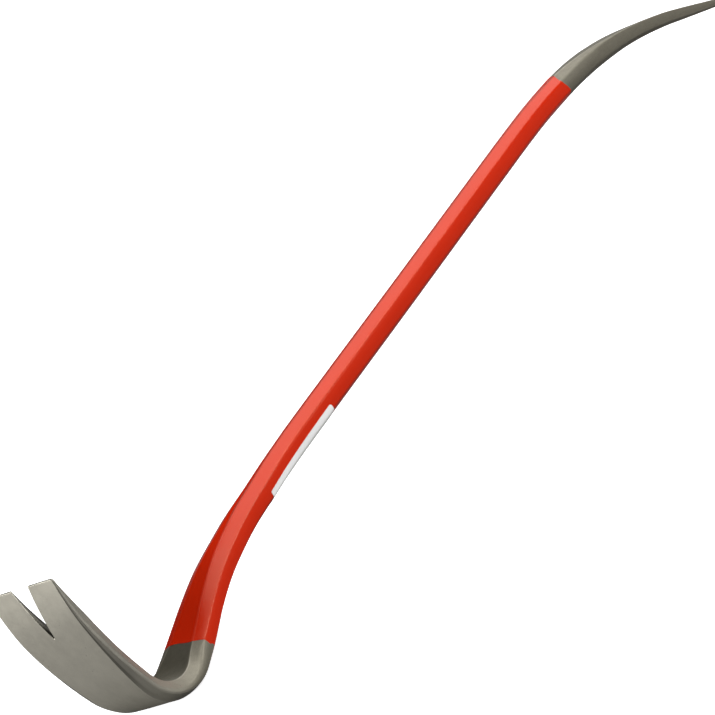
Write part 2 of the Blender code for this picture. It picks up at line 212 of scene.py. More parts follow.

# Painted shade, which darkens the steel's colour: on the gooseneck's inner face, on the chisel's
# sides between two steps of the half outline, and on the claw up to each step, with the length over
# which it fades past the paint and past the claw's start
SHADE_FADE = 0.010
NECK_PAINTED_SHADE = 0.36
CHISEL_PAINTED_SHADE = 0.19
CHISEL_SIDE_STEPS = (16, 30)
CLAW_PAINTED_SHADE = ((2, 0.0), (11, 0.40), (32, 0.45), (33, 0.52), (38, 0.78), (39, 0.40), (42, 0.0))


class SteelSettings(bpy.types.PropertyGroup):
    """Sizes and colours of the forging."""

    roundness: bpy.props.FloatProperty(
        name="Roundness", description="Rounding of the long edges against the usual one",
        default=1.0, min=0.2, max=1.6,
    )
    crown: bpy.props.FloatProperty(
        name="Crown", description="How far the middle of a facet swells out", default=0.00035,
        min=0.0, max=0.001, unit="LENGTH", precision=5,
    )
    waviness: bpy.props.FloatProperty(
        name="Waviness", description="Height of the hammered unevenness of the forged ends",
        default=0.00011, min=0.0, max=0.0005, unit="LENGTH", precision=5,
    )
    shank_waviness: bpy.props.FloatProperty(
        name="Shank waviness", description="Unevenness left by rolling on the shank",
        default=0.00003, min=0.0, max=0.0003, unit="LENGTH", precision=5,
    )
    corner_wear: bpy.props.FloatProperty(
        name="Corner wear", description="Rounding of the claw's outer corners",
        default=0.0016, min=0.0002, max=0.005, unit="LENGTH",
    )
    ground: bpy.props.FloatVectorProperty(
        name="Ground steel", description="Colour of the ground faces", subtype="COLOR",
        size=3, default=(0.515, 0.490, 0.415),
    )
    scale: bpy.props.FloatVectorProperty(
        name="Forging scale", description="Colour where forging scale is left", subtype="COLOR",
        size=3, default=(0.173, 0.159, 0.119),
    )


class CoatSettings(bpy.types.PropertyGroup):
    """Sizes and colour of the enamel."""

    proud: bpy.props.FloatProperty(
        name="Film height", description="How far the enamel stands above the bare steel",
        default=COAT_PROUD, min=0.00005, max=0.0005, unit="LENGTH", precision=5,
    )
    end_wave: bpy.props.FloatProperty(
        name="Wave of the ends", description="How far the paint lines wander along the bar",
        default=0.0003, min=0.0, max=0.004, unit="LENGTH", precision=5,
    )
    red: bpy.props.FloatVectorProperty(
        name="Enamel", description="Colour of the enamel", subtype="COLOR",
        size=3, default=(0.61, 0.0190, 0.0016),
    )


class StickerSettings(bpy.types.PropertyGroup):
    """Sizes and colour of the bare sticker."""

    length: bpy.props.FloatProperty(
        name="Length", description="Length along the shank", default=STICKER_LENGTH,
        min=0.02, max=0.2, unit="LENGTH",
    )
    thickness: bpy.props.FloatProperty(
        name="Thickness", description="Thickness of the paper", default=0.00012,
        min=0.00005, max=0.0005, unit="LENGTH", precision=5,
    )
    lap: bpy.props.FloatProperty(
        name="Lap", description="How far each side laps onto the side flat, half way along",
        default=0.0036, min=0.0, max=0.008, unit="LENGTH",
    )
    skew: bpy.props.FloatProperty(
        name="Skew", description="How far the sticker wanders round the bar over its length",
        default=0.0008, min=-0.006, max=0.006, unit="LENGTH",
    )
    corner: bpy.props.FloatProperty(
        name="Corner radius", description="Rounding of the four corners", default=0.0021,
        min=0.0, max=0.008, unit="LENGTH",
    )
    white: bpy.props.FloatVectorProperty(
        name="Paper", description="Colour of the bare paper", subtype="COLOR",
        size=3, default=(0.97, 0.965, 0.955),
    )


class StudioSettings(bpy.types.PropertyGroup):
    """Camera, lights and floor."""

    camera_place: bpy.props.FloatVectorProperty(
        name="Camera", description="Where the camera stands", subtype="TRANSLATION",
        size=3, default=(-1.85797, -1.71849, 0.76534),
    )
    camera_aim: bpy.props.FloatVectorProperty(
        name="Aim", description="Point that the camera looks at", subtype="TRANSLATION",
        size=3, default=(-0.0830997, 0.0, 0.0429343),
    )
    camera_roll: bpy.props.FloatProperty(
        name="Roll", description="Turn of the camera about its own axis", subtype="ANGLE",
        default=math.radians(-34.28097),
    )
    focal_length: bpy.props.FloatProperty(
        name="Focal length", description="Lens, on a sensor 36 mm wide", default=228.7295,
        min=20.0, max=400.0, unit="CAMERA",
    )
    light_power: bpy.props.FloatProperty(
        name="Light", description="Power that the soft lights share out", default=217.0,
        min=0.0, unit="POWER",
    )
    floor: bpy.props.FloatVectorProperty(
        name="Floor", description="Colour of the pale floor", subtype="COLOR",
        size=3, default=(0.90, 0.90, 0.90),
    )


def clamped(value):
    return min(max(value, 0.0), 1.0)


def mirrored(point):
    return Vector((point.x, -point.y))


def walk(stretches, heading, distance):
    """Follow straight and curved stretches (length, curvature) and return place and heading."""
    x = 0.0
    y = 0.0
    for length, curvature in stretches:
        step = min(length, distance)
        if curvature == 0.0:
            x += step * math.cos(heading)
            y += step * math.sin(heading)
        else:
            turned = heading + curvature * step
            x += (math.sin(turned) - math.sin(heading)) / curvature
            y -= (math.cos(turned) - math.cos(heading)) / curvature
            heading = turned
        distance -= step
        if distance <= 0.0:
            break
    return x, y, heading


CLAW_SIDE = (
    (NECK_BEND_END, 1.0 / NECK_RADIUS),
    (NECK_STRAIGHT, 0.0),
    (HEEL_END - HEEL_START, -1.0 / HEEL_RADIUS),
    (CLAW_LENGTH, -1.0 / CLAW_SWEEP_RADIUS),
)
CHISEL_SIDE = (
    (SHANK_LENGTH, 0.0),
    (CHISEL_BEND_START - CHISEL_BEND_END, -1.0 / CHISEL_BEND_RADIUS),
    (CHISEL_STRAIGHT, 0.0),
)
STANDING = (
    Matrix.Translation(SHANK_FOOT)
    @ Matrix.Rotation(LEAN, 4, "Y")
    @ Matrix.Rotation(math.radians(90.0), 4, "X")
)


def centre_line(place):
    """Point on the centre line, and the direction square to it on the claw's side."""
    if place >= 0.0:
        x, y, heading = walk(CLAW_SIDE, math.pi, place)
        return Vector((x, y, 0.0)), Vector((math.sin(heading), -math.cos(heading), 0.0))
    x, y, heading = walk(CHISEL_SIDE, 0.0, -place)
    return Vector((x, y, 0.0)), Vector((-math.sin(heading), math.cos(heading), 0.0))


def set_out(place, height, side):
    """Where a point of the section at this place stands in the room."""
    point, inward = centre_line(place)
    strayed = height - smooth_at(STRAY, STRAY_SLOPES, place)[0]
    return STANDING @ (point + inward * strayed + Vector((0.0, 0.0, side)))


def slope_at(table, index, item):
    """Slope of one value at a station, flat where the value turns back."""
    near = table[max(index - 1, 0):index + 2]
    slopes = [
        (second[1][item] - first[1][item]) / (second[0] - first[0])
        for first, second in zip(near, near[1:])
    ]
    if len(slopes) == 1:
        return slopes[0]
    before, after = slopes
    if before * after <= 0.0:
        return 0.0
    return 2.0 * before * after / (before + after)


def slopes_of(table):
    items = range(len(table[0][1]))
    return [[slope_at(table, index, item) for item in items] for index in range(len(table))]


SLOPES = slopes_of(STATIONS)
STRAY_SLOPES = slopes_of(STRAY)
ROUNDING_SLOPES = slopes_of(ROUNDINGS)


def smooth_at(table, slopes, place):
    """Values between the stations, on a smooth curve that never overshoots."""
    index = 0
    while index < len(table) - 2 and place > table[index + 1][0]:
        index += 1
    start, first = table[index]
    end, second = table[index + 1]
    span = end - start
    t = clamped((place - start) / span)
    return [
        (2 * t ** 3 - 3 * t ** 2 + 1) * first[item]
        + (t ** 3 - 2 * t ** 2 + t) * span * slopes[index][item]
        + (3 * t ** 2 - 2 * t ** 3) * second[item]
        + (t ** 3 - t ** 2) * span * slopes[index + 1][item]
        for item in range(len(first))
    ]


def worn_back(distance, radius):
    """How far a worn edge of this radius lies back, at a distance from its end."""
    if distance >= radius:
        return 0.0
    return radius - math.sqrt(max(0.0, radius ** 2 - (radius - max(distance, 0.0)) ** 2))


def half_corners(place, growth, corner_wear):
    """Corners of the section's upper half, from the inner face round to the outer face."""
    thickness, width, inner_run, inner_drop, outer_run, outer_drop = smooth_at(
        STATIONS, SLOPES, place
    )
    inner = 0.5 * thickness
    side = 0.5 * width
    to_end = min(place - CHISEL_TIP, CLAW_TIP - place)
    inner -= worn_back(to_end, TIP_EDGE_RADIUS)
    side -= worn_back(to_end, corner_wear)
    corners = [
        Vector((inner, side - inner_run)),
        Vector((inner - inner_drop, side)),
        Vector((outer_drop - inner, side)),
        Vector((-inner, side - outer_run)),
    ]
    closed = corners + [mirrored(corner) for corner in reversed(corners)]
    grown = []
    for index in range(4):
        first = (closed[index] - closed[index - 1]).normalized()
        second = (closed[index + 1] - closed[index]).normalized()
        bisector = Vector((first.y, -first.x)) + Vector((second.y, -second.x))
        grown.append(closed[index] + bisector * (growth / (0.5 * bisector.length_squared)))
    return grown


def corner_arc(before, here, after, wanted):
    """Points round one corner, of the wanted radius or of the largest that its sides allow."""
    back = before - here
    ahead = after - here
    turn = math.pi - back.angle(ahead)
    longest = LONGEST_ROUNDING * min(back.length, ahead.length)
    reach = min(wanted * math.tan(0.5 * turn), longest)
    radius = reach / math.tan(0.5 * turn)
    start = here + back.normalized() * reach
    inward = (back.normalized() + ahead.normalized()).normalized()
    centre = here + inward * (radius / math.cos(0.5 * turn))
    spoke = start - centre
    sense = 1.0 if back.x * ahead.y - back.y * ahead.x < 0.0 else -1.0
    return [
        centre + Matrix.Rotation(sense * turn * step / ARC_STEPS, 2) @ spoke
        for step in range(ARC_STEPS + 1)
    ]


def facet_points(start, end, crown, crown_share):
    """Points between the ends of a facet, which swells out a little in its middle."""
    across = end - start
    swell = Vector((across.y, -across.x)).normalized()
    swell *= min(crown, crown_share * across.length)
    shares = [step / FACET_STEPS for step in range(1, FACET_STEPS)]
    return [start + across * part + swell * (4.0 * part * (1.0 - part)) for part in shares]


def half_outline(place, growth, steel, across):
    """Points (height, side) from the inner face's middle to the outer face's middle, and the
    section's corners.

    across gives where, on the two broad faces, points stand: shares of the half face.
    """
    corners = half_corners(place, growth, steel.corner_wear)
    crown = steel.crown * (1.0 - CLAW_CROWN_LOSS * share_between(place, HEEL_START, CLAW_START))
    crown *= 1.0 - CHISEL_CROWN_LOSS * share_between(place, COAT_UPPER_END, CHISEL_CROWN_LOST)
    around = [mirrored(corners[0])] + corners + [mirrored(corners[3])]
    arcs = [
        corner_arc(*around[index:index + 3], max(radius + growth, SHARPEST_RADIUS))
        for index, radius in enumerate(edge_radii(place, steel))
    ]
    inner_middle = Vector((corners[0].x, 0.0))
    outer_middle = Vector((corners[3].x, 0.0))
    outline = [inner_middle.lerp(arcs[0][0], share) for share in across[:-1]]
    for arc, following, crown_share in zip(arcs, arcs[1:], CROWN_SHARES):
        outline += arc + facet_points(arc[-1], following[0], crown, crown_share)
    outline += arcs[3]
    outline += [outer_middle.lerp(arcs[3][-1], share) for share in reversed(across[:-1])]
    return outline, corners


def loop_of(outline):
    """The whole section: the upper half's outline, and back along its mirror image."""
    return outline + [mirrored(point) for point in reversed(outline[1:-1])]


def share_between(place, start, end):
    """How far a place is from start to end, eased, from nothing to one."""
    share = clamped((place - start) / (end - start))
    return share * share * (3.0 - 2.0 * share)


def edge_radii(place, steel):
    """Radii of the half section's four edges, rounder and sharper by turns."""
    swing = noise.noise(Vector((place / ROUNDING_CHANGE_SIZE, 3.1, 0.4)))
    change = steel.roundness * (1.0 + ROUNDING_CHANGE * swing)
    return [radius * change for radius in smooth_at(ROUNDINGS, ROUNDING_SLOPES, place)]


def neck_and_claw_painted_shade(place, step):
    """How much painted shade darkens the claw's side and the gooseneck's inner face, at a step of
    the half outline.

    The steps count from the inner face's edge, and are negative on that face.
    """
    if step < 0:
        return NECK_PAINTED_SHADE * share_between(place, CLAW_START, HEEL_START)
    claw = share_between(place, HEEL_MIDDLE, CLAW_START + SHADE_FADE)
    return claw * next((share for last, share in CLAW_PAINTED_SHADE if step <= last), 0.0)


def chisel_painted_shade(place, step):
    """How much painted shade darkens the chisel's side, at a step of the half outline."""
    if not CHISEL_SIDE_STEPS[0] <= step <= CHISEL_SIDE_STEPS[1]:
        return 0.0
    return CHISEL_PAINTED_SHADE * share_between(place, COAT_UPPER_END + SHADE_FADE, COAT_UPPER_END)


def rim_of(point, corners):
    """One on a long edge, falling to nothing at the reach of the wear and of the painted shade."""
    shares = zip(RIM_SHARES, corners)
    return max(0.0, *(share * (1.0 - (point - at).length / RIM_REACH) for share, at in shares))


def past(start, steps):
    return [start + step for step in steps]


def put_in_scene(name, data):
    made = bpy.data.objects.new(name, data)
    bpy.context.collection.objects.link(made)
    return made


def spaced(start, end, step):
    """Places from start to just short of end, evenly spaced."""
    count = max(1, round((end - start) / step))
    return [start + (end - start) * index / count for index in range(count)]


def unevenness(place, height, side, steel):
    """Height of the hammered and rolled unevenness at a point of the skin."""
    past_shank = max(place - SPREAD_START - PAST_SPREAD, TAPER_START - BEFORE_TAPER - place)
    forged = clamped(past_shank / FORGED_RUN)
    at = (place, height, side)
    broad = Vector([part / size for part, size in zip(at, BROAD_UNEVENNESS)])
    fine = Vector([part / size for part, size in zip(at, FINE_UNEVENNESS)])
    fine.x += FINE_SHIFT
    amount = steel.shank_waviness + (steel.waviness - steel.shank_waviness) * forged
    return amount * (noise.noise(broad) + FINE_SHARE * noise.noise(fine))


class Skin:
    """A mesh under way, with what the finishes need to know at each of its points.

    unbent is the point in the unbent bar, rim is one on a long edge, and the last value is how
    far the steel is darkened: one in the cut notch, and less where it is painted shade on the
    claw's sides, the gooseneck's inner face and the chisel's side.
    """

    def __init__(self):
        self.mesh = bmesh.new()
        self.unbent = self.mesh.verts.layers.float_vector.new("unbent")
        self.rim = self.mesh.verts.layers.float.new("rim")
        self.dark_notch_and_painted_shade = self.mesh.verts.layers.float.new("dark_notch_and_painted_shade")

    def point(self, place, height, side, rim=0.0, dark_notch_and_painted_shade=0.0):
        made = self.mesh.verts.new(set_out(place, height, side))
        made[self.unbent] = Vector((place, height, side))
        made[self.rim] = rim
        made[self.dark_notch_and_painted_shade] = dark_notch_and_painted_shade
        return made

    def face(self, *points):
        kept = [point for index, point in enumerate(points) if point is not points[index - 1]]
        if len(kept) > 2:
            self.mesh.faces.new(kept)

    def strip(self, first, second):
        """Quads between two rows of as many points."""
        for index in range(len(first) - 1):
            self.face(first[index], second[index], second[index + 1], first[index + 1])

    def tube(self, first, second):
        """Quads between two closed rings of as many points."""
        self.strip(first + first[:1], second + second[:1])

    def finish(self, name, material, steel):
        """Turn the faces outward, add the unevenness and make the object."""
        bmesh.ops.recalc_face_normals(self.mesh, faces=self.mesh.faces[:])
        self.mesh.normal_update()
        for point in self.mesh.verts:
            point.co += point.normal * unevenness(*point[self.unbent], steel)
        data = bpy.data.meshes.new(name)
        self.mesh.to_mesh(data)
        self.mesh.free()
        data.materials.append(material)
        data.shade_smooth()
        data.set_sharp_from_angle(angle=CREASE)
        return put_in_scene(name, data)


def notch_distance(place, side):
    """How far a point lies outside the V, seen square to the claw's face."""
    run = place - NOTCH_ROOT - NOTCH_ROOT_RADIUS
    half_angle = notch_half_angle()
    along = run * math.cos(half_angle) + side * math.sin(half_angle)
    if along < 0.0:
        return math.hypot(run, side) - NOTCH_ROOT_RADIUS
    return side * math.cos(half_angle) - run * math.sin(half_angle) - NOTCH_ROOT_RADIUS


def notch_half_angle():
    run = NOTCH_DEPTH - NOTCH_ROOT_RADIUS
    half_mouth = 0.5 * NOTCH_MOUTH
    return math.atan2(half_mouth, run) - math.asin(NOTCH_ROOT_RADIUS / math.hypot(half_mouth, run))


def notch_half_width(place):
    """Half width of the V at this place, nothing before its root."""
    run = place - NOTCH_ROOT
    if run <= 0.0:
        return 0.0
    half_angle = notch_half_angle()
    if run < NOTCH_ROOT_RADIUS * (1.0 - math.sin(half_angle)):
        return math.sqrt(NOTCH_ROOT_RADIUS ** 2 - (NOTCH_ROOT_RADIUS - run) ** 2)
    beyond = run - NOTCH_ROOT_RADIUS
    return NOTCH_ROOT_RADIUS / math.cos(half_angle) + beyond * math.tan(half_angle)


def soft_least(first, second, width):
    """The smaller of two heights, with a rounded change from one to the other."""
    share = clamped(0.5 + 0.5 * (second - first) / width)
    return second + (first - second) * share - width * share * (1.0 - share)


NOTCH_EDGE_RADIUS = 0.00025
NOTCH_CREST_WIDTH = 0.00045
NEAR_NOTCH = (0.0, 0.00008, 0.0002, 0.0004, 0.0007, 0.001, 0.0014, 0.0018, 0.0022, 0.0026, 0.003,
              0.0034, 0.0038, 0.0043, 0.005, 0.006)
BEYOND_NOTCH = (0.14, 0.28, 0.42, 0.56, 0.70, 0.84)
WALL_SHARES = (0.08, 0.35, 0.65, 0.92)
BROAD = tuple(index / 8 for index in range(9))
NOTCH_RIM_FROM = -0.03        # the notch's rim starts here, as a share of the notch's depth
WALL_BELOW_TOP = 2.5          # the notch's wall ends this many edge radii below the tine's top


def claw_half(place, steel):
    """Half outline of the claw, cut by the V: points of height, side, rim and darkening."""
    outline, corners = half_outline(place, 0.0, steel, (0.0, 1.0))
    outer = corners[3].x
    inner = corners[0].x
    along = (place - NOTCH_ROOT) / NOTCH_DEPTH
    wall = NOTCH_WALL_AT_ROOT + (NOTCH_WALL_AT_TIP - NOTCH_WALL_AT_ROOT) * clamped(along)
    wall = min(wall, 2.0 * inner - WALL_BELOW_TOP * NOTCH_EDGE_RADIUS)
    half_width = notch_half_width(place)

    def sides(edge):
        near = [half_width + offset for offset in NEAR_NOTCH]
        rest = edge - near[-1]
        return near + [near[-1] + rest * part for part in BEYOND_NOTCH]

    notched = along > NOTCH_RIM_FROM
    points = []
    for side in sides(outline[1].y):
        distance = max(notch_distance(place, side), 0.0)
        cut = outer + wall + distance / NOTCH_BEVEL
        height = soft_least(inner, cut, NOTCH_CREST_WIDTH)
        near_crest = 1.0 - abs(inner - cut) / RIM_REACH
        near_wall = 1.0 - distance / RIM_REACH if notched else 0.0
        # the steel is darkened where the V's bevel cuts into the tine's inner face
        dark_notch_and_painted_shade = clamped((inner - height) / NOTCH_CREST_WIDTH)
        points.append((height, side, max(0.0, near_crest, near_wall), dark_notch_and_painted_shade))
    # painted shade on the claw's sides and the gooseneck's inner face, by step of the outline
    for step, point in enumerate(outline[1:-1]):
        points.append((point.x, point.y, rim_of(point, corners), neck_and_claw_painted_shade(place, step)))
    for side in reversed(sides(outline[-2].y)):
        distance = max(notch_distance(place, side), 0.0)
        height = outer + worn_back(distance, NOTCH_EDGE_RADIUS)
        near_wall = 1.0 - distance / RIM_REACH if notched else 0.0
        points.append((height, side, max(0.0, near_wall), 0.0))
    return points


NOTCH_MARGIN = 0.0048         # the rows are close from this far before the notch's root
BEFORE_ROOT = (-0.0006, -0.0003, -0.0001, 0.0)
PAST_ROOT = (0.00003, 0.0001, 0.00022, 0.0004, 0.0007, 0.0011)
TINES_FROM = 0.0016           # past the root, where the tines' evenly spaced rows start
BEFORE_TIP = (-0.0020, -0.0015, -0.0011, -0.0007, -0.0004, -0.0002, -0.00008, -0.00001)


def claw_places():
    """Places of the claw's rows: closest round the notch's root and at the tips."""
    margin = NOTCH_ROOT - NOTCH_MARGIN
    places = spaced(CLAW_START, margin, CLAW_STEP)
    places += spaced(margin, NOTCH_ROOT + BEFORE_ROOT[0], ROOT_STEP)
    places += past(NOTCH_ROOT, BEFORE_ROOT + PAST_ROOT)
    places += spaced(NOTCH_ROOT + TINES_FROM, CLAW_TIP + BEFORE_TIP[0], TINE_STEP)
    return places + past(CLAW_TIP, BEFORE_TIP)


def notch_wall(skin, place, row, half, sign):
    """Points up one wall of the notch, from the row's outer end to its inner end."""
    top, foot = half[0], half[-1]
    heights = [foot[0] + (top[0] - foot[0]) * share for share in WALL_SHARES]
    # the notch's walls are darkened fully
    return [row[-1]] + [skin.point(place, at, sign * top[1], 0.0, 1.0) for at in heights] + [row[0]]


def add_claw(skin, last_ring, broad_sides, steel):
    """The claw's rows, from the last full ring of the bar to the two tips."""
    before = None
    for place in claw_places():
        half = claw_half(place, steel)
        split = place > NOTCH_ROOT
        upper = [skin.point(place, *point) for point in half]
        turned = [(height, -side, rim, dark_notch_and_painted_shade) for height, side, rim, dark_notch_and_painted_shade in half]
        lower = [skin.point(place, *point) for point in turned[1:-1]]
        ends = (upper[0], upper[-1])
        if split:
            ends = [skin.point(place, *turned[index]) for index in (0, -1)]
        lower = [ends[0]] + lower + [ends[1]]
        upper_wall = lower_wall = []
        if place >= NOTCH_ROOT:
            upper_wall = lower_wall = notch_wall(skin, place, upper, half, 1.0)
        if split:
            lower_wall = notch_wall(skin, place, lower, half, -1.0)
        if before is None:
            join_claw(skin, last_ring, upper, lower, broad_sides, half)
        else:
            skin.strip(before[0], upper)
            skin.strip(lower, before[1])
        if split:
            skin.strip(before[2], upper_wall)
            skin.strip(lower_wall, before[3])
        before = (upper, lower, upper_wall, lower_wall)
    skin.face(*(upper + upper_wall[1:-1]))
    skin.face(*reversed(lower + lower_wall[1:-1]))


def join_claw(skin, ring, upper, lower, broad_sides, half):
    """Faces from the bar's last ring, of fewer points, to the claw's first row."""
    count = len(ring) // 2
    plain = len(broad_sides) - 1
    fine = len(NEAR_NOTCH) + len(BEYOND_NOTCH)
    partners = [0] + [
        min(range(fine), key=lambda index: abs(half[index][1] - side))
        for side in broad_sides[1:-1]
    ]
    matches = partners + list(range(fine, fine + count + 1 - 2 * plain))
    matches += [len(half) - 1 - partner for partner in reversed(partners)]
    first = ring[:count + 1]
    second = [ring[0]] + list(reversed(ring[count + 1:])) + [ring[count]]
    for row, fine_row, turned in ((first, upper, False), (second, lower, True)):
        for index in range(len(row) - 1):
            far = fine_row[matches[index]:matches[index + 1] + 1]
            loop = [row[index]] + far + [row[index + 1]]
            skin.face(*(reversed(loop) if turned else loop))


def full_ring(skin, place, steel):
    """One closed ring of points round the bare bar, and the half outline that it follows."""
    outline, corners = half_outline(place, 0.0, steel, BROAD)
    loop = loop_of(outline)
    # painted shade: the gooseneck's and the claw's on the claw side of the shank, the chisel's on
    # the other
    left = neck_and_claw_painted_shade if place > 0.0 else chisel_painted_shade
    ring = []
    for index, point in enumerate(loop):
        step = min(index, len(loop) - index) - len(BROAD) + 1
        rim = rim_of(Vector((point.x, abs(point.y))), corners)
        ring.append(skin.point(place, point.x, point.y, rim, left(place, step)))
    return ring, outline


PAST_CHISEL_TIP = (0.00001, 0.00008, 0.0002, 0.0004, 0.0007, 0.0011, 0.0016)
CHISEL_FROM = 0.0022          # past the tip, where the chisel's evenly spaced rings start


def bar_places():
    """Places of the bar's rings up to the claw."""
    places = past(CHISEL_TIP, PAST_CHISEL_TIP)
    places += spaced(CHISEL_TIP + CHISEL_FROM, TAPER_START, CHISEL_STEP)
    places += spaced(TAPER_START, SPREAD_START, SHANK_STEP)
    places += spaced(SPREAD_START, HEEL_START, NECK_STEP)
    places += spaced(HEEL_START, HEEL_END, HEEL_STEP)
    return places + spaced(HEEL_END, CLAW_START, CLAW_STEP)


def make_forged_bar(steel):
    skin = Skin()
    rings = []
    for place in bar_places():
        ring, outline = full_ring(skin, place, steel)
        if rings:
            skin.tube(rings[-1], ring)
        rings.append(ring)
    skin.face(*reversed(rings[0]))
    broad_sides = [point.y for point in outline[:len(BROAD)]]
    add_claw(skin, rings[-1], broad_sides, steel)
    return skin.finish("forged_steel_bar", steel_finish(steel), steel)


# Sizes of a paint line's broad and fine wandering, and the fine one's share
BROAD_WANDER = 0.012
FINE_WANDER = 0.0035
FINE_WANDER_SHARE = 0.45


def end_wander(height, side, seed, amount):
    """How far a paint line wanders along the bar at this point of the section."""
    broad = noise.noise(Vector((height / BROAD_WANDER + seed, side / BROAD_WANDER, seed)))
    fine = noise.noise(Vector((height / FINE_WANDER, side / FINE_WANDER + seed, seed)))
    return amount * (broad + FINE_WANDER_SHARE * fine)


# How far past its drawn end the coat reaches towards the claw, by the angle round the bar in
# degrees from the middle of the inner face, at the chisel end and at the claw end
UPPER_REACH = (
    (-180.0, (-0.0025,)), (-120.0, (-0.0023,)), (-60.0, (0.0004,)), (0.0, (-0.0025,)),
    (60.0, (0.0012,)), (120.0, (-0.0023,)), (180.0, (-0.0025,)),
)
LOWER_REACH = (
    (-180.0, (0.0008,)), (-100.0, (0.0004,)), (-60.0, (0.0000,)), (0.0, (0.0007,)),
    (60.0, (0.0014,)), (79.0, (0.0004,)), (106.0, (0.0011,)), (180.0, (0.0008,)),
)
COAT_ENDS = (
    (1.7, COAT_UPPER_END, UPPER_REACH, slopes_of(UPPER_REACH)),
    (5.3, COAT_LOWER_END, LOWER_REACH, slopes_of(LOWER_REACH)),
)
COAT_END_HOLD = 0.012         # the wandering dies away over this length
COAT_END_STEPS = (0.0, 0.00006, 0.00015, 0.0003, 0.0005, 0.0008, 0.0014, 0.0024, 0.0040)
COAT_FROM = 0.0065            # past its upper end, where the coat's evenly spaced rows start
COAT_BITE = 0.00012           # the film's rim and its inside lie this deep in the steel
COAT_RIM = 0.0005             # the film thins out to its rim over this length


def coat_places():
    """Places of the coat's rows: closest at its ends."""
    places = past(COAT_UPPER_END, COAT_END_STEPS)
    places += spaced(COAT_UPPER_END + COAT_FROM, TAPER_START, COAT_STEP)
    places += spaced(TAPER_START, SPREAD_START, SHANK_STEP)
    places += spaced(SPREAD_START, COAT_LOWER_END - COAT_END_STEPS[-1], NECK_STEP)
    return places + [COAT_LOWER_END - step for step in reversed(COAT_END_STEPS)]


def coat_row(skin, place, growth, steel, coat):
    """Points round the coat, each moved along the bar where its end wanders."""
    seed, end, reach, slopes = COAT_ENDS[1 if place > 0.0 else 0]
    hold = max(0.0, 1.0 - abs(place - end) / COAT_END_HOLD)
    outline, corners = half_outline(place, growth, steel, BROAD[::2])
    row = []
    for point in loop_of(outline):
        angle = math.degrees(math.atan2(point.y, point.x))
        wander = end_wander(point.x, point.y, seed, coat.end_wave)
        wander = hold * (wander + smooth_at(reach, slopes, angle)[0])
        rim = rim_of(Vector((point.x, abs(point.y))), corners)
        row.append(skin.point(place + wander, point.x, point.y, rim))
    return row


def make_coat(steel, coat):
    """Closed sleeve of enamel, with wandering ends that taper away to nothing."""
    skin = Skin()
    film = coat.proud + COAT_BITE
    outside = []
    inside = []
    for place in coat_places():
        to_end = min(place - COAT_UPPER_END, COAT_LOWER_END - place)
        thinned = worn_back(to_end, COAT_RIM) * (film / COAT_RIM)
        outside.append(coat_row(skin, place, coat.proud - thinned, steel, coat))
        inside.append(coat_row(skin, place, -COAT_BITE, steel, coat))
    for rows in (outside, inside):
        for first, second in zip(rows, rows[1:]):
            skin.tube(first, second)
    for end in (0, -1):
        skin.tube(outside[end], inside[end])
    return skin.finish("red_enamel_coat", coat_finish(coat), steel)


LOWER_CORNER_SHARE = 0.5      # the sticker's lower corners are cut tighter
STICKER_LIFT = 0.00002        # glue between the coat and the sticker
STICKER_STEP = 0.0022
STICKER_STEPS_ACROSS = 48
CORNER_BENDS = [1.0 - math.cos(math.radians(step)) for step in range(0, 91, 15)]


def sticker_row(skin, place, ends, growth, steel, sticker):
    """Points across the sticker, from one lap over the shank's outer corner to the other."""
    upper_end, lower_end = ends
    outline, corners = half_outline(place, growth, steel, BROAD[::2])
    path = loop_of(outline)[1:]
    lengths = [0.0]
    for first, second in zip(path, path[1:]):
        lengths.append(lengths[-1] + (second - first).length)
    middle = lengths[len(outline) - 2]
    reach = middle - length_to(path, lengths, corners[2])
    trim = worn_back(place - upper_end, sticker.corner)
    trim += worn_back(lower_end - place, LOWER_CORNER_SHARE * sticker.corner)
    middle += sticker.skew * ((place - upper_end) / sticker.length - 0.5)
    half_width = reach + sticker.lap - trim
    to_end = min(place - upper_end, lower_end - place)
    row = []
    for step in range(STICKER_STEPS_ACROSS + 1):
        share = step / STICKER_STEPS_ACROSS
        point = point_at(path, lengths, middle + half_width * (2.0 * share - 1.0))
        edge = 2.0 * half_width * min(share, 1.0 - share)
        worn = max(0.0, 1.0 - min(edge + trim, to_end) / RIM_REACH)
        row.append(skin.point(place, point.x, point.y, worn))
    return row


def make_sticker(steel, coat, sticker):
    """Bare paper sticker with rounded corners, stuck on a little askew."""
    skin = Skin()
    lower_end = -STICKER_FROM_NECK
    upper_end = lower_end - sticker.length
    lower_corner = LOWER_CORNER_SHARE * sticker.corner
    places = [upper_end + sticker.corner * bend for bend in CORNER_BENDS]
    places += spaced(upper_end + sticker.corner, lower_end - lower_corner, STICKER_STEP)[1:]
    places += [lower_end - lower_corner * bend for bend in reversed(CORNER_BENDS)]
    layers = []
    for lift in (STICKER_LIFT, STICKER_LIFT + sticker.thickness):
        growth = coat.proud + lift
        ends = (upper_end, lower_end)
        rows = [sticker_row(skin, place, ends, growth, steel, sticker) for place in places]
        for first, second in zip(rows, rows[1:]):
            skin.strip(first, second)
        layers.append(rows)
    under, over = layers
    for side in (0, -1):
        skin.strip(under[side], over[side])
        skin.strip([row[side] for row in under], [row[side] for row in over])
    return skin.finish("paper_sticker", sticker_finish(sticker), steel)


def length_to(path, lengths, corner):
    """Length along a path to its point nearest a corner."""
    nearest = min(range(len(path)), key=lambda index: (path[index] - corner).length)
    return lengths[nearest]


def point_at(path, lengths, wanted):
    """Point on a path at a length along it."""
    for index in range(1, len(path)):
        if lengths[index] >= wanted:
            share = (wanted - lengths[index - 1]) / (lengths[index] - lengths[index - 1])
            return path[index - 1].lerp(path[index], share)
    return path[-1]


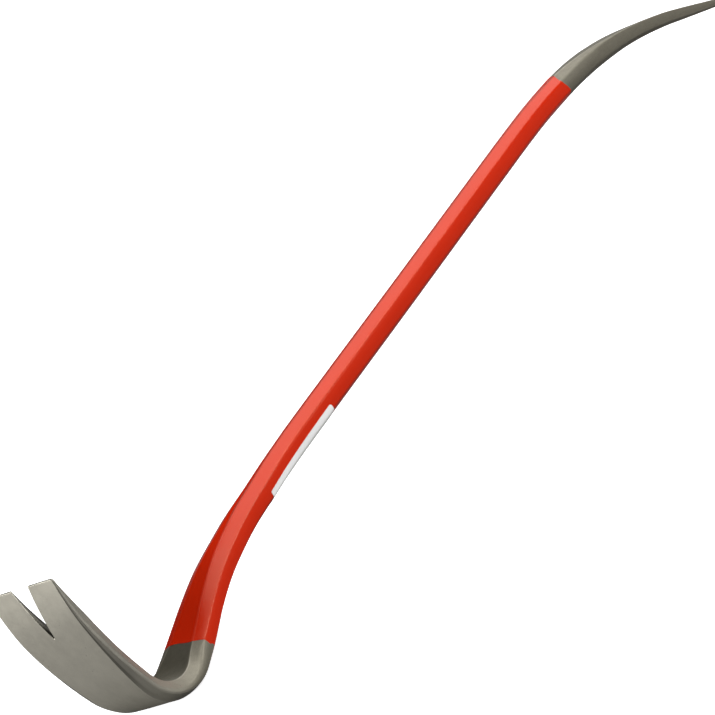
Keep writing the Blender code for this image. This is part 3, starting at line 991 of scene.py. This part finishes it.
def add_node(tree, kind, feeds=None, **settings):
    """A node with its settings and its inputs."""
    made = tree.nodes.new(kind)
    for key, value in settings.items():
        setattr(made, key, value)
    feed(tree, made, feeds or {})
    return made


def feed(tree, node, feeds):
    """Give a node's inputs their numbers, or join them to other sockets."""
    for name, value in feeds.items():
        socket = node.inputs[name]
        if isinstance(value, bpy.types.NodeSocket):
            tree.links.new(value, socket)
        else:
            socket.default_value = value


def math_node(tree, operation, *values):
    return add_node(tree, "ShaderNodeMath", dict(enumerate(values)), operation=operation).outputs[0]


def add_share(tree, value, mask, share):
    """A value raised by a share of a mask."""
    return math_node(tree, "MULTIPLY_ADD", mask, share, value)


def skin_value(tree, name, output="Fac"):
    """What the skins carry at their points under this name."""
    return add_node(tree, "ShaderNodeAttribute", attribute_name=name).outputs[output]


def stretched(tree, value, start, end, low=0.0, high=1.0, eased=False):
    """A value's stretch from start to end, turned into one from low to high."""
    feeds = {"Value": value, "From Min": start, "From Max": end, "To Min": low, "To Max": high}
    kind = "SMOOTHSTEP" if eased else "LINEAR"
    return add_node(tree, "ShaderNodeMapRange", feeds, interpolation_type=kind).outputs["Result"]


def cloud(tree, place, detail, roughness):
    feeds = {"Vector": place, "Scale": 1.0, "Detail": detail, "Roughness": roughness}
    return add_node(tree, "ShaderNodeTexNoise", feeds).outputs["Fac"]


def new_group(name, inputs, output):
    """Empty effect group: its tree, the sockets that it is given, and the socket that it fills."""
    tree = bpy.data.node_groups.new(name, "ShaderNodeTree")
    for label, default in inputs.items():
        socket = tree.interface.new_socket(label, in_out="INPUT", socket_type="NodeSocketFloat")
        socket.default_value = default
    tree.interface.new_socket(output, in_out="OUTPUT", socket_type="NodeSocketFloat")
    given = tree.nodes.new("NodeGroupInput").outputs
    return tree, given, tree.nodes.new("NodeGroupOutput").inputs[output]


def unbent_place(tree, size, stretch):
    """Coordinates in the unbent bar, in steps of size, drawn out along the bar by stretch."""
    across = math_node(tree, "DIVIDE", 1.0, size)
    along = math_node(tree, "DIVIDE", across, stretch)
    scale = add_node(tree, "ShaderNodeCombineXYZ", {0: along, 1: across, 2: across}).outputs[0]
    feeds = {0: skin_value(tree, "unbent", "Vector"), 1: scale}
    return add_node(tree, "ShaderNodeVectorMath", feeds, operation="MULTIPLY").outputs[0]


def mottle_group():
    """Soft patches of one size, drawn out along the bar if asked."""
    inputs = {"Size": 0.006, "Stretch": 1.0, "Low": 0.35, "High": 0.65}
    tree, given, mask = new_group("Mottle", inputs, "Mask")
    patches = cloud(tree, unbent_place(tree, given["Size"], given["Stretch"]), 5.0, 0.6)
    tree.links.new(stretched(tree, patches, given["Low"], given["High"]), mask)
    return tree


def hairline_group():
    """Fine lines, such as grinding marks, along the bar or across it."""
    inputs = {"Pitch": 0.0004, "Stretch": 20.0, "Cover": 0.5}
    tree, given, height = new_group("Hairlines", inputs, "Height")
    lines = cloud(tree, unbent_place(tree, given["Pitch"], given["Stretch"]), 3.0, 0.7)
    bare = math_node(tree, "SUBTRACT", 1.0, given["Cover"])
    tree.links.new(stretched(tree, lines, bare, 1.0), height)
    return tree


SPECK_EDGE = 0.55             # share of a speck's radius that is at full height


def speck_group():
    """Scattered round specks, such as pits, dust nibs or flecks in paper."""
    inputs = {"Spacing": 0.003, "Size": 0.12, "Share": 0.5}
    tree, given, mask = new_group("Specks", inputs, "Mask")
    feeds = {"Vector": unbent_place(tree, given["Spacing"], 1.0), "Scale": 1.0}
    cells = add_node(tree, "ShaderNodeTexVoronoi", feeds, feature="F1").outputs
    chosen = math_node(tree, "LESS_THAN", cells["Color"], given["Share"])
    edge = math_node(tree, "MULTIPLY", given["Size"], SPECK_EDGE)
    dot = stretched(tree, cells["Distance"], given["Size"], edge)
    tree.links.new(math_node(tree, "MULTIPLY", dot, chosen), mask)
    return tree


def edge_wear_and_shade_group():
    """A mask along the rims, broken up by a cloud: wear on the steel and the paper, painted shade
    on the enamel.
    """
    inputs = {"Start": 0.55, "Breakup": 0.5, "Size": 0.004}
    tree, given, mask = new_group("Edge wear and shade", inputs, "Mask")
    patches = cloud(tree, unbent_place(tree, given["Size"], 1.6), 4.0, 0.65)
    uneven = math_node(tree, "SUBTRACT", patches, 0.5)
    broken = add_share(tree, skin_value(tree, "rim"), uneven, given["Breakup"])
    tree.links.new(stretched(tree, broken, given["Start"], 1.0, eased=True), mask)
    return tree


GROUP_MAKERS = {
    "Mottle": mottle_group,
    "Hairlines": hairline_group,
    "Specks": speck_group,
    "Edge wear and shade": edge_wear_and_shade_group,
}


def effect(tree, name, **values):
    """One shared effect placed in a material with its own values."""
    placed = tree.nodes.new("ShaderNodeGroup")
    placed.node_tree = bpy.data.node_groups.get(name) or GROUP_MAKERS[name]()
    for key, value in values.items():
        placed.inputs[key].default_value = value
    return placed.outputs[0]


def blend(tree, mask, first, second):
    """One colour turned into another where a mask lies."""
    feeds = {0: mask, 6: first, 7: second}
    return add_node(tree, "ShaderNodeMix", feeds, data_type="RGBA", clamp_factor=True).outputs[2]


def tint(tree, colour, mask, share, other):
    """A colour turned by a share towards another where a mask lies."""
    return blend(tree, math_node(tree, "MULTIPLY", mask, share), colour, other)


def shade(colour, factor):
    """A colour lighter or darker by a factor, ready for a colour socket."""
    return (*(min(1.0, part * factor) for part in colour), 1.0)


def new_finish(name):
    """An empty material: its tree and its Principled shader."""
    material = bpy.data.materials.new(name)
    material.use_nodes = True
    return material, material.node_tree, material.node_tree.nodes["Principled BSDF"]


def add_bumps(tree, shader, bumps):
    """Several heights in metres, one over the other, into the shader's normal."""
    feeds = {"Strength": 1.0}
    for height, depth in bumps:
        feeds.update(Height=height, Distance=depth)
        feeds["Normal"] = add_node(tree, "ShaderNodeBump", feeds).outputs["Normal"]
    tree.links.new(feeds["Normal"], shader.inputs["Normal"])


def place_along(tree):
    """Place along the unbent bar."""
    feeds = {0: skin_value(tree, "unbent", "Vector")}
    return add_node(tree, "ShaderNodeSeparateXYZ", feeds).outputs["X"]


# Where the bright ground steel starts beyond the heel, and where it is full
GROUND_FROM = HEEL_START + 0.010
GROUND_FULL = HEEL_END + 0.025


def steel_finish(steel):
    """Forged and ground steel with a satin sheen."""
    material, tree, shader = new_finish("forged_steel_finish")
    polish = stretched(tree, place_along(tree), GROUND_FROM, GROUND_FULL, eased=True)
    clouds = effect(tree, "Mottle", Size=0.009, Stretch=1.5, Low=0.34, High=0.68)
    patches = effect(tree, "Mottle", Size=0.0024, Stretch=1.3, Low=0.40, High=0.70)
    marks = effect(tree, "Hairlines", Pitch=0.00045, Stretch=9.0, Cover=0.62)
    cross = effect(tree, "Hairlines", Pitch=0.0035, Stretch=0.10, Cover=0.62)
    pits = effect(tree, "Specks", Spacing=0.0045, Size=0.10, Share=0.42)
    worn = effect(tree, "Edge wear and shade", Start=0.45, Breakup=0.7, Size=0.005)
    ground = blend(tree, clouds, shade(steel.ground, 1.0), shade(steel.ground, 0.88))
    forged = blend(tree, patches, shade(steel.scale, 1.0), shade(steel.scale, 0.9))
    colour = blend(tree, polish, forged, ground)
    colour = tint(tree, colour, marks, 0.12, shade(steel.ground, 1.15))
    colour = tint(tree, colour, pits, 0.45, shade(steel.scale, 0.4))
    colour = tint(tree, colour, worn, 0.20, shade(steel.ground, 1.05))
    # Painted shade: the steel darkened nearly to black on the claw's sides, the gooseneck's inner
    # face and the chisel's side, and darkened in the notch
    colour = tint(tree, colour, skin_value(tree, "dark_notch_and_painted_shade"), 0.92, shade(steel.scale, 0.10))
    rough = stretched(tree, patches, 0.0, 1.0, 0.42, 0.49)
    rough = add_share(tree, rough, worn, -0.03)
    metallic = stretched(tree, polish, 0.0, 1.0, 0.45, 0.75)
    feed(tree, shader, {"Base Color": colour, "Roughness": rough, "Metallic": metallic})
    feed(tree, shader, {"Specular IOR Level": 0.35})
    hollows = math_node(tree, "SUBTRACT", 1.0, pits)
    bumps = ((clouds, 0.00004), (marks, 0.000010), (cross, 0.000010), (hollows, 0.00006))
    add_bumps(tree, shader, bumps)
    return material


# Painted shade darkens the enamel along the shank's ridges more than along the gooseneck's: from
# which place to which the change goes, and how strong it is at either end
RIDGE_SHADE_FROM, RIDGE_SHADE_TO = 0.050, 0.005
RIDGE_SHADE_ON_NECK, RIDGE_SHADE_ON_SHANK = 0.05, 0.80
SCUFFED_RED = (0.50, 0.05, 0.025, 1.0)


def coat_finish(coat):
    """Semi-gloss red enamel with a faint orange peel and a few dust nibs."""
    material, tree, shader = new_finish("red_enamel_finish")
    clouds = effect(tree, "Mottle", Size=0.030, Stretch=2.0, Low=0.30, High=0.70)
    peel = effect(tree, "Mottle", Size=0.0011, Stretch=1.4, Low=0.20, High=0.80)
    nibs = effect(tree, "Specks", Spacing=0.009, Size=0.035, Share=0.35)
    scuffs = effect(tree, "Hairlines", Pitch=0.0006, Stretch=14.0, Cover=0.34)
    shaded_ridges = effect(tree, "Edge wear and shade", Start=0.25, Breakup=0.3, Size=0.006)
    ridge_shade_share = stretched(
        tree, place_along(tree), RIDGE_SHADE_FROM, RIDGE_SHADE_TO, RIDGE_SHADE_ON_NECK, RIDGE_SHADE_ON_SHANK, eased=True
    )
    colour = blend(tree, clouds, shade(coat.red, 1.0), shade(coat.red, 0.95))
    # Painted shade: the enamel darkened along its ridges and edges, most on the shank
    colour = tint(tree, colour, shaded_ridges, ridge_shade_share, shade(coat.red, 0.35))
    colour = tint(tree, colour, scuffs, 0.25, SCUFFED_RED)
    rough = stretched(tree, peel, 0.0, 1.0, 0.17, 0.22)
    rough = add_share(tree, rough, scuffs, 0.20)
    rough = add_share(tree, rough, shaded_ridges, 0.30)
    feed(tree, shader, {"Base Color": colour, "Roughness": rough, "Metallic": 0.0})
    feed(tree, shader, {"Specular IOR Level": 0.28, "Specular Tint": (1.0, 0.96, 0.62, 1.0)})
    add_bumps(tree, shader, ((peel, 0.000010), (nibs, 0.00004), (scuffs, 0.000006)))
    return material


SOILED_PAPER = (0.66, 0.63, 0.60, 1.0)
PAPER_FLECK = (0.50, 0.47, 0.44, 1.0)


def sticker_finish(sticker):
    """Bare coated paper, a little soiled at its edges."""
    material, tree, shader = new_finish("sticker_paper_finish")
    clouds = effect(tree, "Mottle", Size=0.012, Stretch=1.5, Low=0.30, High=0.75)
    fibre = effect(tree, "Mottle", Size=0.0006, Stretch=2.0, Low=0.25, High=0.75)
    flecks = effect(tree, "Specks", Spacing=0.006, Size=0.03, Share=0.4)
    soiled = effect(tree, "Edge wear and shade", Start=0.35, Breakup=0.9, Size=0.003)
    colour = blend(tree, clouds, shade(sticker.white, 1.0), shade(sticker.white, 0.95))
    colour = tint(tree, colour, soiled, 0.45, SOILED_PAPER)
    colour = tint(tree, colour, flecks, 0.5, PAPER_FLECK)
    rough = stretched(tree, fibre, 0.0, 1.0, 0.42, 0.55)
    feed(tree, shader, {"Base Color": colour, "Roughness": rough})
    add_bumps(tree, shader, ((fibre, 0.000006), (clouds, 0.00003)))
    return material


# Studio: name, bearing from the chisel side and elevation in degrees, and share of the power
SOFT_LIGHTS = (
    ("low_front_light", -65.0, 10.0, 0.63),
    ("front_light", -40.0, 45.0, 0.24),
    ("high_front_light", -40.0, 70.0, 0.20),
    ("chisel_front_light", -15.0, 35.0, 0.10),
    ("chisel_high_light", -15.0, 55.0, 0.04),
    ("shank_low_light", 10.0, 35.0, 0.08),
    ("shank_light", 10.0, 55.0, 0.09),
    ("top_light", 10.0, 75.0, 0.10),
    ("chisel_side_light", 30.0, 25.0, 0.06),
    ("back_light", 135.0, 12.0, 0.24),
    ("claw_light", 180.0, 20.0, 0.77),
)
LIGHT_WIDTH = 1.6
LIGHT_DISTANCE = 4.5
STUDIO_MIDDLE = Vector((0.0, 0.0, 0.04))
WHITE = (1.0, 1.0, 1.0, 1.0)
FLOOR_HALF_WIDTH = 9.0
FLOOR_DROP = 0.0003           # the floor lies just under what touches it
FLOOR_PATCH_SCALE = 3.0
FLOOR_PATCH_SHADE = 0.985
FLOOR_GLOW = 0.80             # what the floor gives off to the camera
QUIET_FLOOR = 0.21            # the floor's share of its colour in what the bar reflects
QUIET_WORLD = 0.02            # the surroundings' brightness to the bar
SEEN_WORLD = 1.05             # the surroundings' brightness to the camera
SENSOR_WIDTH = 36.0           # millimetres
NEAREST_SEEN = 0.05
FARTHEST_SEEN = 60.0


def floor_finish(colour):
    """Pale floor: white to the camera, a quieter grey to what the bar reflects."""
    material = bpy.data.materials.new("pale_floor_finish")
    material.use_nodes = True
    tree = material.node_tree
    tree.nodes.clear()
    place = add_node(tree, "ShaderNodeTexCoord").outputs["Object"]
    feeds = {"Vector": place, "Scale": FLOOR_PATCH_SCALE, "Detail": 3.0}
    patches = add_node(tree, "ShaderNodeTexNoise", feeds).outputs["Fac"]
    tone = blend(tree, patches, shade(colour, FLOOR_PATCH_SHADE), shade(colour, 1.0))
    seen = add_node(tree, "ShaderNodeBsdfDiffuse", {"Color": tone}).outputs[0]
    glow = add_node(tree, "ShaderNodeEmission", {"Color": WHITE, "Strength": FLOOR_GLOW}).outputs[0]
    seen = add_node(tree, "ShaderNodeAddShader", {0: seen, 1: glow}).outputs[0]
    dim = shade(colour, QUIET_FLOOR)
    quiet = add_node(tree, "ShaderNodeBsdfDiffuse", {"Color": dim}).outputs[0]
    camera_ray = add_node(tree, "ShaderNodeLightPath").outputs["Is Camera Ray"]
    mixed = add_node(tree, "ShaderNodeMixShader", {0: camera_ray, 1: quiet, 2: seen}).outputs[0]
    add_node(tree, "ShaderNodeOutputMaterial", {"Surface": mixed})
    return material


def add_soft_light(name, bearing, elevation, power):
    """Soft box that faces the middle of the bar from a bearing and an elevation."""
    light = bpy.data.lights.new(name, "AREA")
    light.shape = "SQUARE"
    light.size = LIGHT_WIDTH
    light.energy = power
    turn = Matrix.Rotation(math.radians(bearing), 3, "Z")
    raised = turn @ Matrix.Rotation(math.radians(-elevation), 3, "Y") @ Vector((1.0, 0.0, 0.0))
    item = put_in_scene(name, light)
    item.location = STUDIO_MIDDLE + raised * LIGHT_DISTANCE
    item.rotation_mode = "QUATERNION"
    item.rotation_quaternion = raised.to_track_quat("Z", "Y")
    item.visible_camera = False


def make_world():
    """Surroundings that are white to the camera and nearly dark to the bar."""
    world = bpy.data.worlds.new("plain_studio")
    bpy.context.scene.world = world
    world.use_nodes = True
    tree = world.node_tree
    tree.nodes.clear()
    camera_ray = add_node(tree, "ShaderNodeLightPath").outputs["Is Camera Ray"]
    feeds = {0: camera_ray, 2: QUIET_WORLD, 3: SEEN_WORLD}
    strength = add_node(tree, "ShaderNodeMix", feeds, data_type="FLOAT").outputs[0]
    feeds = {"Color": WHITE, "Strength": strength}
    back = add_node(tree, "ShaderNodeBackground", feeds).outputs[0]
    add_node(tree, "ShaderNodeOutputWorld", {"Surface": back})


def make_camera(studio):
    data = bpy.data.cameras.new("photo_view")
    data.sensor_width = SENSOR_WIDTH
    data.lens = studio.focal_length
    data.clip_start = NEAREST_SEEN
    data.clip_end = FARTHEST_SEEN
    forward = (Vector(studio.camera_aim) - Vector(studio.camera_place)).normalized()
    level = forward.cross(Vector((0.0, 0.0, 1.0))).normalized()
    upright = level.cross(forward)
    turn = studio.camera_roll
    right = level * math.cos(turn) + upright * math.sin(turn)
    up = right.cross(forward)
    axes = Matrix((right, up, -forward)).transposed().to_4x4()
    camera = put_in_scene("photo_view", data)
    camera.matrix_world = Matrix.Translation(studio.camera_place) @ axes
    bpy.context.scene.camera = camera


def make_floor(studio):
    mesh = bmesh.new()
    bmesh.ops.create_grid(mesh, x_segments=8, y_segments=8, size=FLOOR_HALF_WIDTH)
    data = bpy.data.meshes.new("pale_floor")
    mesh.to_mesh(data)
    mesh.free()
    data.materials.append(floor_finish(studio.floor))
    floor = put_in_scene("pale_floor", data)
    floor.location.z = -FLOOR_DROP
    return floor


def show_piece(piece, node):
    """Hand a finished piece to the frame in place of its solid."""
    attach(piece, "root")
    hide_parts(node)


class WRECKING_BAR_OT_forge(bpy.types.Operator):
    """Build the forged steel bar with its chisel, heel and split claw"""

    bl_idname = "wrecking_bar.forge"
    bl_label = "Forge the bar"

    def execute(self, context):
        piece = make_forged_bar(context.scene.bar_steel)
        show_piece(piece, "forged_bar")
        return {"FINISHED"}


class WRECKING_BAR_OT_coat(bpy.types.Operator):
    """Lay the red enamel over the shank"""

    bl_idname = "wrecking_bar.coat"
    bl_label = "Paint the shank"

    def execute(self, context):
        piece = make_coat(context.scene.bar_steel, context.scene.bar_coat)
        show_piece(piece, "red_coat")
        return {"FINISHED"}


class WRECKING_BAR_OT_sticker(bpy.types.Operator):
    """Stick the bare paper label on the shank's outer corner"""

    bl_idname = "wrecking_bar.sticker"
    bl_label = "Stick the label"

    def execute(self, context):
        scene = context.scene
        piece = make_sticker(scene.bar_steel, scene.bar_coat, scene.bar_sticker)
        show_piece(piece, "sticker")
        return {"FINISHED"}


class WRECKING_BAR_OT_studio(bpy.types.Operator):
    """Set the floor, the soft lights and the camera"""

    bl_idname = "wrecking_bar.studio"
    bl_label = "Set the studio"

    def execute(self, context):
        studio = context.scene.bar_studio
        make_floor(studio)
        for name, bearing, elevation, share in SOFT_LIGHTS:
            add_soft_light(name, bearing, elevation, share * studio.light_power)
        make_world()
        make_camera(studio)
        context.scene.view_settings.view_transform = "Standard"
        return {"FINISHED"}


class WRECKING_BAR_PT_panel(bpy.types.Panel):
    """Everything that builds the wrecking bar"""

    bl_idname = "WRECKING_BAR_PT_panel"
    bl_label = "Wrecking bar"
    bl_space_type = "VIEW_3D"
    bl_region_type = "UI"
    bl_category = "Wrecking bar"

    def draw(self, context):
        layout = self.layout
        for name, settings, operator in PARTS:
            box = layout.box()
            for key in settings.bl_rna.properties.keys():
                if key not in ("rna_type", "name"):
                    box.prop(getattr(context.scene, name), key)
            box.operator(operator.bl_idname)


PARTS = (
    ("bar_steel", SteelSettings, WRECKING_BAR_OT_forge),
    ("bar_coat", CoatSettings, WRECKING_BAR_OT_coat),
    ("bar_sticker", StickerSettings, WRECKING_BAR_OT_sticker),
    ("bar_studio", StudioSettings, WRECKING_BAR_OT_studio),
)


def register():
    for name, settings, operator in PARTS:
        bpy.utils.register_class(settings)
        bpy.utils.register_class(operator)
        setattr(bpy.types.Scene, name, bpy.props.PointerProperty(type=settings))
    bpy.utils.register_class(WRECKING_BAR_PT_panel)


def unregister():
    bpy.utils.unregister_class(WRECKING_BAR_PT_panel)
    for name, settings, operator in reversed(PARTS):
        delattr(bpy.types.Scene, name)
        bpy.utils.unregister_class(operator)
        bpy.utils.unregister_class(settings)


def main():
    register()
    bpy.ops.wrecking_bar.studio()
    bpy.ops.wrecking_bar.forge()
    bpy.ops.wrecking_bar.coat()
    bpy.ops.wrecking_bar.sticker()


if __name__ == "__main__":
    main()
